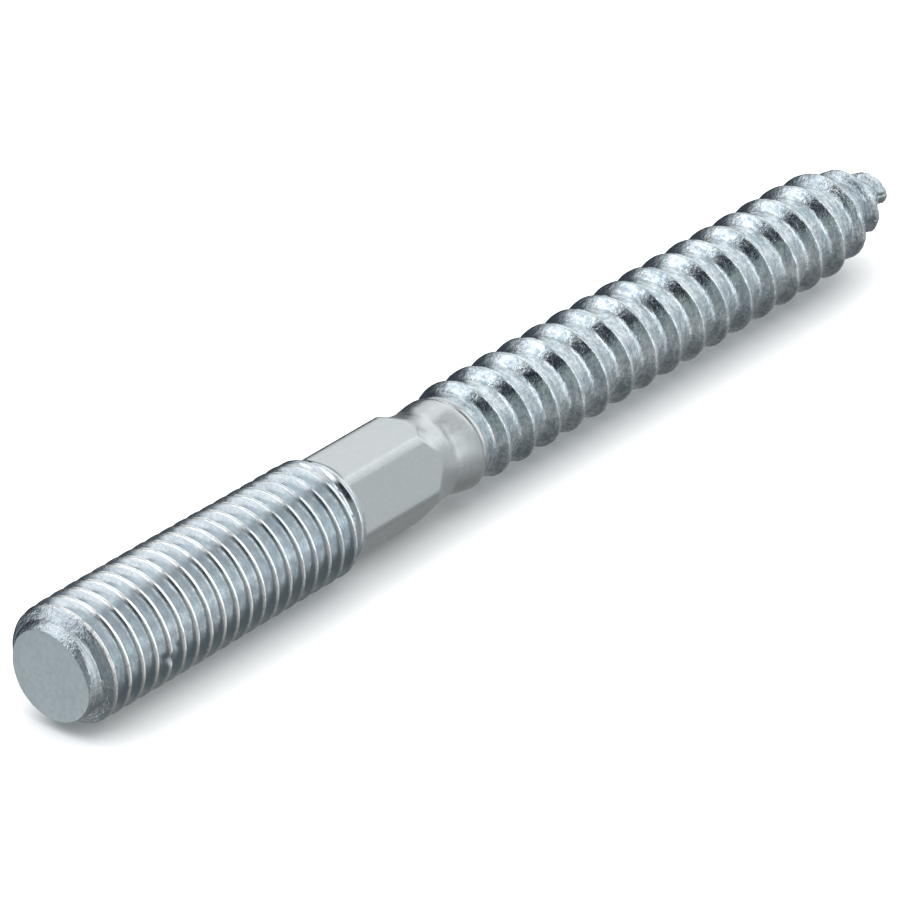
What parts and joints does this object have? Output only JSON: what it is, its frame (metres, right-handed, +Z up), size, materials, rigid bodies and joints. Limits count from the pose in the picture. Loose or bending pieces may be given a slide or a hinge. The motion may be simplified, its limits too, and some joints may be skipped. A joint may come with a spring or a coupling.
{
  "type": "hanger bolt",
  "caption": "Double-ended steel fastener: metric machine thread, hexagonal drive with a short neck, and a coarse tapering wood screw thread with a blunt point.",
  "frame": {"origin": "middle of the bolt's length, on the plane that it lies on", "axes": "+X along the bolt's axis from the machine end to the pointed end, +Z up"},
  "size_m": [0.099, 0.01, 0.01],
  "materials": {
    "zinc_steel": "bright zinc plating over rolled and cold-headed steel, smooth on the hexagon, scuffed on the wood thread"
  },
  "bodies": {
    "root": {"hanger_bolt": "zinc_steel"}
  },
  "joints": []
}
